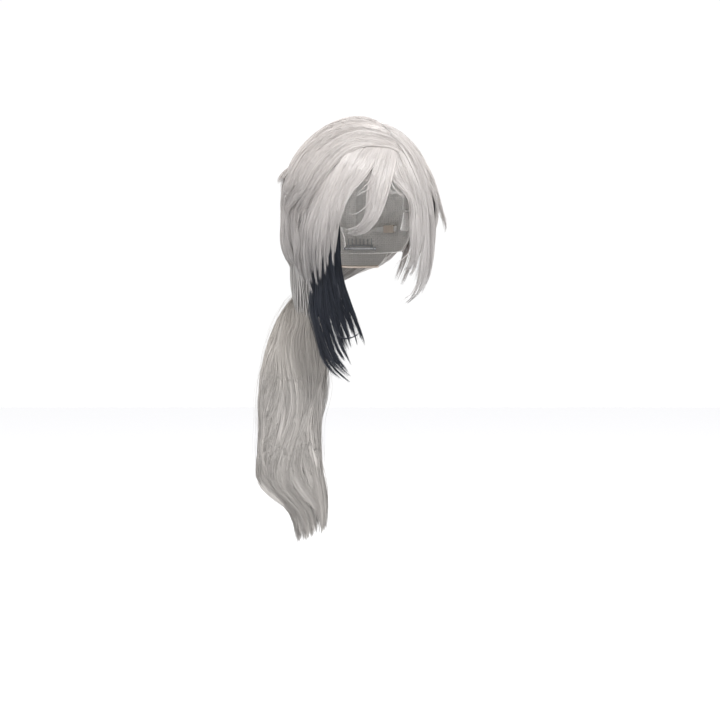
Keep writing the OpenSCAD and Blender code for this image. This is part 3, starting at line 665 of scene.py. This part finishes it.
LEFT_BUMPS = [
    [[72, -52, 92], [88, -40, 64], [98, -32, 42], [100, -28, 22], [95, -30, 4]],
    [[76, -34, 92], [92, -28, 62], [102, -24, 38], [102, -22, 18], [96, -25, 0]],
    [[80, -18, 86], [95, -16, 56], [103, -14, 30], [102, -14, 8], [95, -18, -14]]]

STRAYS = [
    [F(22, 52, 18), F(15, 36, 19), F(3, 20, 20), F(-13, 13, 20), F(-29, 11, 19)],
    [F(28, 60, 17), F(12, 48, 18), F(0, 40, 18), F(-14, 34, 18)],
    [F(18, 66, 17), F(8, 52, 18), F(-4, 42, 18), F(-12, 40, 18)],
    [F(36, 70, 16), F(40, 52, 17), F(50, 42, 18), F(64, 30, 18)],
    [F(34, 60, 16), F(38, 44, 17), F(47, 43, 18), F(60, 37, 18)],
    [F(66, -26, 19), F(58, -38, 19), F(47, -48, 18), F(38, -60, 17)],
    [F(80, -60, 20), F(70, -80, 20), F(58, -92, 19), F(46, -99, 18)],
    [F(-26, 0, 18), F(-21, -14, 17), F(-20, -26, 17), F(-27, -34, 16)],
    [[-34, -64, -126], [-31, -66, -137], [-20, -67, -143], [-8, -66, -141], [2, -64, -133]]]

SIDE_RIGHT = [
    [F(-48, 80, 12), F(-63, 44, 13), F(-70, 10, 15), F(-73, -20, 16), F(-73, -46, 15), F(-70, -66, 13)],
    [F(-62, 72, 14), F(-74, 38, 15), F(-81, 4, 17), F(-83, -26, 17), F(-81, -50, 16), F(-76, -70, 13)],
    [P(206, 34, 16), P(204, 8, 20), P(204, -18, 23), P(204, -40, 22), P(205, -56, 16), P(208, -72, 10)],
    [P(194, 40, 18), P(192, 8, 23), P(191, -20, 27), P(191, -42, 27), P(193, -58, 18), P(196, -72, 10)],
    [P(182, 40, 20), P(180, 8, 25), P(179, -20, 29), P(179, -42, 28), P(181, -58, 18), P(184, -72, 10)],
    [P(168, 40, 20), P(166, 8, 23), P(165, -22, 25), P(165, -44, 22), P(168, -58, 15), P(172, -68, 9)]]

COLUMN = [
    [[-90, 4, -22], [-92, -6, -44], [-91, -14, -68], [-89, -20, -92], [-86, -22, -104]],
    [[-83, -16, -20], [-84, -22, -44], [-83, -26, -70], [-81, -28, -98], [-80, -28, -112]],
    [[-70, -25, -18], [-71, -31, -44], [-70, -33, -74], [-68, -33, -104], [-67, -32, -118]],
    [[-56, -32, -18], [-56, -37, -44], [-56, -38, -76], [-54, -36, -108], [-53, -34, -122]]]

TIE_AT, STUB = (-70.0, 15.0), ((-68, 12.5), (-84, 10), (-108, 9))   # the stub's middle, its heights and radii


def stub(turn):
    """The end of a line of back hair, down through the tie into the clip."""
    a = math.radians(turn)
    return [[TIE_AT[0] + r * math.cos(a), TIE_AT[1] + r * math.sin(a), z] for z, r in STUB]


BACK_RIGHT = [
    [P(-44, 58, 18), P(-100, 84, 19), P(170, 66, 20), P(177, 42, 20), P(177, 16, 21), P(176, -10, 21),
     [-100, 10, -14], [-94, 14, -42], *stub(200)],
    [P(-46, 61, 19), P(160, 82, 20), P(160, 58, 21), P(160, 34, 22), P(160, 10, 22), P(158, -12, 21),
     P(156, -32, 18), [-88, 38, -46], *stub(165)],
    [P(-47, 63, 20), P(130, 84, 21), P(140, 60, 22), P(140, 36, 23), P(140, 12, 23), P(141, -10, 22),
     P(142, -30, 19), [-80, 50, -46], *stub(135)],
    [P(-48, 64, 20), P(100, 84, 21), P(118, 60, 22), P(119, 36, 23), P(120, 12, 23), P(123, -10, 22),
     P(128, -32, 19), [-70, 60, -50], *stub(110)],
    [P(-48, 65, 20), P(70, 84, 21), P(97, 60, 22), P(99, 36, 23), P(101, 12, 23), P(106, -12, 22),
     P(114, -34, 19), [-58, 66, -54], *stub(90)],
    [P(-47, 66, 20), P(50, 82, 21), P(76, 60, 22), P(78, 36, 23), P(81, 12, 23), P(88, -12, 22),
     P(100, -35, 18), [-46, 70, -56], *stub(70)]]

BACK_LEFT = [
    [P(-47, 66, 20), P(48, 81, 21), P(74, 60, 22), P(76, 36, 23), P(79, 12, 23), P(86, -12, 22),
     P(98, -35, 18), [-44, 71, -56], *stub(70)],
    [P(-46, 65, 20), P(30, 79, 21), P(55, 58, 22), P(58, 34, 23), P(62, 10, 23), P(71, -14, 21),
     P(85, -38, 17), [-38, 74, -59], *stub(50)],
    [P(-45, 63, 20), P(12, 74, 21), P(34, 54, 22), P(38, 30, 23), P(44, 6, 22), P(56, -18, 20),
     P(73, -42, 16), [-30, 76, -62], *stub(25)],
    [P(-44, 62, 20), P(0, 68, 21), P(16, 48, 22), P(20, 24, 22), P(27, 0, 21), P(42, -24, 18),
     P(62, -48, 14), P(88, -57, 12), [-34, 66, -66], *stub(0)]]

BLACK = [
    [[-58, -56, 8], [-62, -58, -40], [-64, -59, -87], [-65, -60, -108], [-57, -60, -139], [-49, -60, -167],
     [-36, -60, -186], [-15, -60, -202]],
    [[-50, -57, 8], [-53, -60, -40], [-53, -62, -85], [-51, -63, -112], [-42, -63, -142], [-32, -63, -168],
     [-11, -62, -192]],
    [[-42, -57, 8], [-43, -61, -40], [-41, -63, -80], [-36, -64, -112], [-26, -64, -143], [-10, -63, -176]],
    [[-34, -56, 8], [-33, -60, -40], [-29, -62, -75], [-21, -63, -105], [-11, -63, -134], [-2, -62, -160]],
    [[-27, -54, 8], [-26, -58, -40], [-21, -60, -72], [-12, -61, -96], [-3, -61, -116], [4, -60, -136],
     [7, -59, -151]]]

# ---- The tail: its middle, half widths and waves at each height ----
TAIL_TOP, TAIL_END = -74.0, -416.0
TAIL_CUTS = (-190.0, -290.0)             # where one moving length of the tail meets the next
CUT_FRAY, VEIL_REACH = 0.04, 0.065       # how unevenly hairs are cut there, how far fine hairs cross it
TAIL_OUTLINE = [                         # height, middle x, middle y, half width, half depth
    (-74, -70, 14, 9, 12), (-82, -70, 13, 19, 20), (-92, -71, 11, 24, 25), (-102, -74, 9, 28, 26),
    (-113, -76, 7, 32, 24), (-127, -79, 5, 36, 20),
    (-155, -84, 1, 40, 18), (-185, -87, -2, 43, 19), (-227, -90, -6, 43, 19), (-264, -93, -9, 39, 18),
    (-290, -95, -11, 42, 18), (-320, -94, -13, 45, 18), (-335, -90, -13, 44, 17), (-348, -82, -13, 38, 17),
    (-360, -73, -13, 30, 16), (-372, -67, -13, 25, 15), (-388, -65, -13, 22, 13), (-416, -63, -13, 20, 11)]


def tail_guides(count=18):
    """Lines down an oval section; the side towards the face ends a little higher."""
    table = np.array(TAIL_OUTLINE)[::-1].T
    smooth = np.ones(5) / 5
    down = np.linspace(0, 1, DENSE)
    lines = []
    for turn in np.linspace(0, 2 * math.pi, count):
        z = TAIL_TOP + (TAIL_END + 10 * (1 + math.cos(turn)) - TAIL_TOP) * down
        x, y, a, b = (np.interp(z, table[0], row) for row in table[1:])
        x, y, a, b = (np.convolve(np.pad(row, 2, "edge"), smooth, "valid") for row in (x, y, a, b))
        closed = np.clip(0.5 + (TAIL_TOP - z) / 88, 0, 1)     # open at the top, where the clip's jaw moves
        way = math.pi + (turn - math.pi) * closed
        wave = 2 * math.pi * (2.1 + 0.5 * math.sin(turn)) * down + 2.4 * math.sin(turn) + math.cos(2 * turn)
        way = way + 0.2 * np.sin(wave) * np.minimum(down * 5, 1)
        lines.append(np.stack([x + a * np.cos(way), y + b * np.sin(way), z], 1))
    return np.stack(lines)


def tail_normal(p):
    """Outward directions round the tail's middle line."""
    table = np.array(TAIL_OUTLINE)[::-1].T
    x, y, a, b = (np.interp(p[..., 2], table[0], row) for row in table[1:])
    return unit(np.stack([(p[..., 0] - x) / a ** 2, (p[..., 1] - y) / b ** 2, np.zeros_like(x)], -1))


def down_tail(z):
    return (TAIL_TOP - z) / (TAIL_TOP - TAIL_END)


def m(*point):
    """A place in metres, from millimetres."""
    return tuple(v * MM for v in point)


def finish_piece(piece, nodes=(), blend=None, material=white, body="root"):
    """Builds a piece that rides on a body, or, given a joint, keeps its place with its transform applied; it
    takes the place of CAD nodes.
    """
    obj = piece.build(material)
    if blend:
        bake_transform(obj)
    else:
        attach(obj, body)
    if nodes:
        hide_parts(*nodes)
    return obj


def front_way(p):
    """Facing the front, for hair that hangs free of the head."""
    return np.zeros_like(p) + np.array([0.0, -1.0, 0.0])


def crown_swoop():
    p = Piece("crown_swoop")
    fall = Fall(SWOOP, 40, 11, sway=2.5, tips=(0.80, 1.0), gather=0.4)
    underlay(p, fall, 4, across=40, along=36)
    locks(p, fall, depth=-2.0, overlap=2.0, columns=7)
    hairs(p, fall, 360, width=0.6, depth=(-2.2, 0.2), spread=0.6)
    hairs(p, fall, 900, width=0.34, depth=(-1.2, 0.9), steps=18, salt=901)
    finish_piece(p, ["hair_crown", "fringe_top_right"])


def fringe_curtain():
    p = Piece("fringe_curtain")
    fall = Fall(CURTAIN, 20, 21, sway=2.2, tips=(0.80, 1.0), gather=0.7)
    underlay(p, fall, 3, across=24, along=30, t=(0.05, 0.76))
    locks(p, fall, depth=-1.5, overlap=1.9)
    hairs(p, fall, 300, width=0.55, depth=(-2, 0.5), spread=0.45)
    hairs(p, fall, 1000, width=0.33, depth=(-0.8, 1.2), spread=1.0, steps=18, salt=901)
    finish_piece(p, ["curtain_right", "curtain_tips"],
                 ("curtain_tips", m(-46, -88, 28), m(-46, -88, -20)), curtain_shaded_hair)


def fringe_roots():
    p = Piece("fringe_roots")
    fall = Fall(FRINGE_ROOTS, 24, 31, tips=(0.7, 1.0))
    underlay(p, fall, 3.5, across=30, along=12, t=(0.02, 0.9))
    locks(p, fall, depth=-0.8, overlap=2.2, steps=12, narrow=0.3)
    hairs(p, fall, 620, width=0.36, depth=(-0.5, 1.1), steps=12)
    finish_piece(p, ["fringe_top_left"])


def fringe_locks():
    p = Piece("second_lock")
    fall = Fall(SECOND, 6, 41, sway=1.2, tips=(0.85, 1.0), gather=0.5)
    locks(p, fall, depth=-0.6, overlap=2.0)
    hairs(p, fall, 220, width=0.42, depth=(-0.6, 0.9), spread=0.7)
    hairs(p, fall, 460, width=0.28, depth=(0, 1.3), spread=1.0, salt=901)
    finish_piece(p)
    p = Piece("centre_lock")
    fall = Fall(CENTRE, 7, 42, sway=1.2, tips=(0.86, 1.0), gather=0.5)
    locks(p, fall, depth=-0.6, overlap=2.0)
    hairs(p, fall, 240, width=0.42, depth=(-0.8, 0.9), spread=0.7)
    hairs(p, fall, 520, width=0.28, depth=(0, 1.3), spread=1.0, salt=901)
    finish_piece(p, ["fringe_mid"],
                 ("fringe_mid", m(10, -87, 92), m(10, -87, 70)))


def left_front():
    p = Piece("left_front_hair")
    for guides, seed, low in ((CHEEK, 51, 0.72), (JAW, 52, 0.72)):
        fall = Fall(guides, 10, seed, sway=1.8, tips=(0.84, 1.0), gather=0.6)
        underlay(p, fall, 3, across=12, along=30, t=(0.05, low))
        locks(p, fall, depth=-1, overlap=2.0)
        hairs(p, fall, 220, width=0.5, depth=(-1.5, 0.5), spread=0.45)
        hairs(p, fall, 420, width=0.32, depth=(-0.5, 1.2), salt=901)
    finish_piece(p, ["fringe_left", "left_lock_outer", "left_lock_inner"],
                 ("left_lock", m(74, -54, 8), m(74, -54, -36)))


def left_side():
    p = Piece("left_side_hair")
    fall = Fall(SIDE_LEFT, 30, 61, sway=2.2, tips=(0.82, 1.0), gather=0.45)
    underlay(p, fall, 4, across=30, along=34, t=(0.05, 0.86))
    locks(p, fall, depth=-1.5, overlap=1.9, columns=7)
    hairs(p, fall, 300, width=0.55, depth=(-2, 0.5), spread=0.6)
    hairs(p, fall, 760, width=0.34, depth=(-1, 1.0), salt=901)
    finish_piece(p, ["hair_side_left"])


def flicks():
    p = Piece("side_flick_hair")
    fall = Fall(FLICK, 7, 71, sway=1.6, tips=(0.86, 1.0), gather=0.75, dip=9)
    locks(p, fall, depth=-0.5, overlap=1.5)
    hairs(p, fall, 110, width=0.35, depth=(-1.6, 0.8), spread=0.8)
    finish_piece(p, ["side_flicks"])


def strays():
    """Single fine hairs that stand off the locks."""
    p = Piece("stray_hairs")
    for i, line in enumerate(STRAYS[:-1]):
        near = [np.array(q, float) + [1.5, 0, 2.0] for q in line]
        fall = Fall([line, near], 2, 200 + i, sway=0.6, tips=(0.8, 1), dip=0)
        hairs(p, fall, 5, width=0.22, frizz=0.9, spread=0.45)
    for guides, seed in ((RIGHT_FLICK, 211), (LEFT_BUMPS, 212)):
        fall = Fall(guides, 9, seed, sway=2.0, tips=(0.74, 1.0), gather=0.6, dip=7)
        locks(p, fall, depth=-1.0, overlap=1.4)
        hairs(p, fall, 170, width=0.32, depth=(-1.6, 1.0))
    finish_piece(p)


def right_side():
    p = Piece("right_side_hair")
    fall = Fall(SIDE_RIGHT, 24, 81, sway=2.4, tips=(0.8, 1.0), gather=0.6)
    underlay(p, fall, 4, across=24, along=26, t=(0.02, 0.82))
    locks(p, fall, depth=-1.5, overlap=1.9, columns=7)
    hairs(p, fall, 260, width=0.55, depth=(-2, 0.5), spread=0.6)
    hairs(p, fall, 700, width=0.34, depth=(-1, 1.2), salt=901)
    finish_piece(p, ["hair_side_right"])
    p = Piece("right_column_hair")
    fall = Fall(COLUMN, 16, 82, sway=0.8, tips=(0.9, 1.0), gather=0.1)
    underlay(p, fall, 2, across=14, along=14, t=(0, 0.84))
    locks(p, fall, depth=-1, overlap=2.6, narrow=0.12, steps=16, ridges=0.04, crown=0.08)
    hairs(p, fall, 620, width=0.34, depth=(-0.9, 0.3), steps=14)
    finish_piece(p, ["side_column_right"], material=shaded_white)


def back_hair():
    for name, guides, seed, nodes in (("back_hair_right", BACK_RIGHT, 91, ["hair_back_right", "nape_sweep"]),
                                      ("back_hair_left", BACK_LEFT, 92, ["hair_back_left", "gathered_stub"])):
        p = Piece(name)
        fall = Fall(guides, 30, seed, sway=2.2, tips=(0.97, 1.0), gather=0.2, swirl=0.7)
        underlay(p, fall, 4, across=30, along=36, t=(0.05, 0.97))
        locks(p, fall, depth=-2, overlap=2.0, narrow=0.1, steps=28, columns=7)
        locks(p, fall, depth=-6.5, overlap=1.5, narrow=0.1, steps=16, columns=5)
        hairs(p, fall, 300, width=0.6, depth=(-2.5, 0.2), spread=0.6, steps=24)
        hairs(p, fall, 640, width=0.36, depth=(-1.2, 0.9), steps=24, salt=901)
        finish_piece(p, nodes)


def black_layer():
    p = Piece("black_under_layer")
    fall = Fall(BLACK, 26, 101, sway=3.0, tips=(0.84, 1.0), gather=0.6, facing=front_way)
    underlay(p, fall, -1, 2.5, across=14, along=24, t=(0, 0.62))
    locks(p, fall, depth=0, overlap=1.9, narrow=0.55)
    loop = Fall([STRAYS[-1], [np.array(q, float) + [1, 0, 2] for q in STRAYS[-1]]], 2, 103, sway=0.5, dip=0)
    hairs(p, loop, 12, width=0.3, sides=4, spread=0.45)
    hairs(p, fall, 420, width=0.5, depth=(-3, 2.5), spread=0.7)
    hairs(p, fall, 620, width=0.28, depth=(-3, 3.0), spread=1.2, salt=901, short=0.2)
    finish_piece(p, ["black_lock"], ("black_lock", m(-41, -57, 15), m(-41, -57, -35)), black)


def tail():
    guides = tail_guides()
    edges = (0.0, *(down_tail(z) for z in TAIL_CUTS), 1.0)
    like_tail = {"sway": 4.0, "tips": (0.94, 1.0), "gather": 0.12, "swirl": 1.1, "facing": tail_normal}
    lengths = (("tail_top_hair", "root", "tail_upper", -105, -150, ["tail_upper", "tail_wrap"]),
               ("tail_mid_hair", "tail_upper", "tail_lower", -215, -265, ["tail_lower"]),
               ("tail_end_hair", "tail_lower", "tail_tip", -315, -350, ["tail_tip"]))
    for i, (name, body, child, start, end, nodes) in enumerate(lengths):
        p = Piece(name)
        top, bottom = edges[i], edges[i + 1]
        fall = Fall(guides, 40, 111, window=(top, bottom), fray=CUT_FRAY, **like_tail)
        underlay(p, fall, 5, 1.5, across=40, along=16, t=(0, 0.94))
        locks(p, fall, depth=-2, overlap=2.3, steps=20, crown=0.12, ridges=0.08, narrow=0.1)
        hairs(p, fall, 420, width=0.65, depth=(-3, 0.2), steps=16, spread=0.45)
        hairs(p, fall, 640, width=0.34, depth=(-1.5, 1.0), spread=0.8, steps=16, salt=901)
        wide = (max(top - VEIL_REACH, 0.0), min(bottom + VEIL_REACH, 1.0))
        veil = Fall(guides, 40, 111, window=wide, fray=0.03, **like_tail)
        hairs(p, veil, 420, width=0.38, depth=(0.2, 1.2), spread=1.0, steps=14, salt=903 + i,
              fade=0.25)
        if bottom == 1.0:
            brush = Fall(guides, 60, 112, sway=3.0, roots=(0.66, 0.8), tips=(0.94, 1.0), gather=0.0,
                         facing=tail_normal)
            hairs(p, brush, 420, width=0.5, depth=(-5, 0.0), spread=0.8, steps=12, short=0.03)
        hairs(p, fall, 60, width=0.2, depth=(0, 7), frizz=2.5, spread=1.5, steps=20, salt=902)
        bend = (child, m(-88, -6, start), m(-88, -6, end))
        finish_piece(p, nodes, bend, tail_white, body)


strays()
crown_swoop()
fringe_curtain()
fringe_roots()
fringe_locks()
left_front()
left_side()
flicks()
right_side()
back_hair()
black_layer()
tail()

# ---- Camera, light and floor ----
VIEW_FROM = (0.0, -2.4, -0.17)
camera_data = bpy.data.cameras.new("camera")
camera_data.sensor_width, camera_data.lens = 36.0, 90.2
camera = bpy.data.objects.new("camera", camera_data)
camera.location = VIEW_FROM
camera.rotation_euler = (math.pi / 2, 0, 0)
bpy.context.scene.collection.objects.link(camera)
bpy.context.scene.camera = camera


def soft_light(name, place, aim, size, power):
    data = bpy.data.lights.new(name, "AREA")
    data.shape, data.size, data.energy = "DISK", size, power
    lamp = bpy.data.objects.new(name, data)
    lamp.location = place
    direction = Vector(aim) - Vector(place)
    lamp.rotation_euler = direction.to_track_quat("-Z", "Y").to_euler()
    bpy.context.scene.collection.objects.link(lamp)


def studio():
    """A sky that is bright above and dim below, seen by the camera as plain white."""
    world = bpy.data.worlds.new("studio")
    bpy.context.scene.world = world
    world.use_nodes = True
    nodes, links = world.node_tree.nodes, world.node_tree.links
    lit = nodes["Background"]
    place, apart = nodes.new("ShaderNodeTexCoord"), nodes.new("ShaderNodeSeparateXYZ")
    links.new(place.outputs["Generated"], apart.inputs[0])
    links.new(remap(nodes, links, apart.outputs["Z"], -0.5, 0.9, 0.42, 1.2), lit.inputs["Strength"])
    lit.inputs["Color"].default_value = (0.985, 0.985, 1.0, 1)
    seen = nodes.new("ShaderNodeBackground")
    seen.inputs["Color"].default_value, seen.inputs["Strength"].default_value = (1, 1, 1, 1), 1.02
    path, mix = nodes.new("ShaderNodeLightPath"), nodes.new("ShaderNodeMixShader")
    links.new(path.outputs["Is Camera Ray"], mix.inputs[0])
    links.new(lit.outputs[0], mix.inputs[1])
    links.new(seen.outputs[0], mix.inputs[2])
    links.new(mix.outputs[0], nodes["World Output"].inputs["Surface"])


soft_light("key", (0.85, -1.6, 1.8), (0, 0, 0.02), 0.8, 72)
soft_light("fill", (-2.2, -1.0, 0.0), (0, 0, -0.05), 1.4, 14)
soft_light("back", (0.5, 1.8, 1.4), (0, 0, 0), 1.2, 12)
studio()
bpy.context.scene.view_settings.view_transform = "Standard"

FLOOR_Z, FLOOR_REACH = -0.47, 9
floor_mesh = bpy.data.meshes.new("floor")
corners = [(x * FLOOR_REACH, y * FLOOR_REACH, FLOOR_Z) for x, y in ((-1, -1), (1, -1), (1, 1), (-1, 1))]
floor_mesh.from_pydata(corners, [], [(0, 1, 2, 3)])
floor = bpy.data.objects.new("floor", floor_mesh)
bpy.context.scene.collection.objects.link(floor)
floor_paint, nodes, links, bsdf = new_material("pale floor")
bsdf.inputs["Base Color"].default_value = (0.92, 0.92, 0.92, 1)
bsdf.inputs["Roughness"].default_value = 0.95
floor_mesh.materials.append(floor_paint)
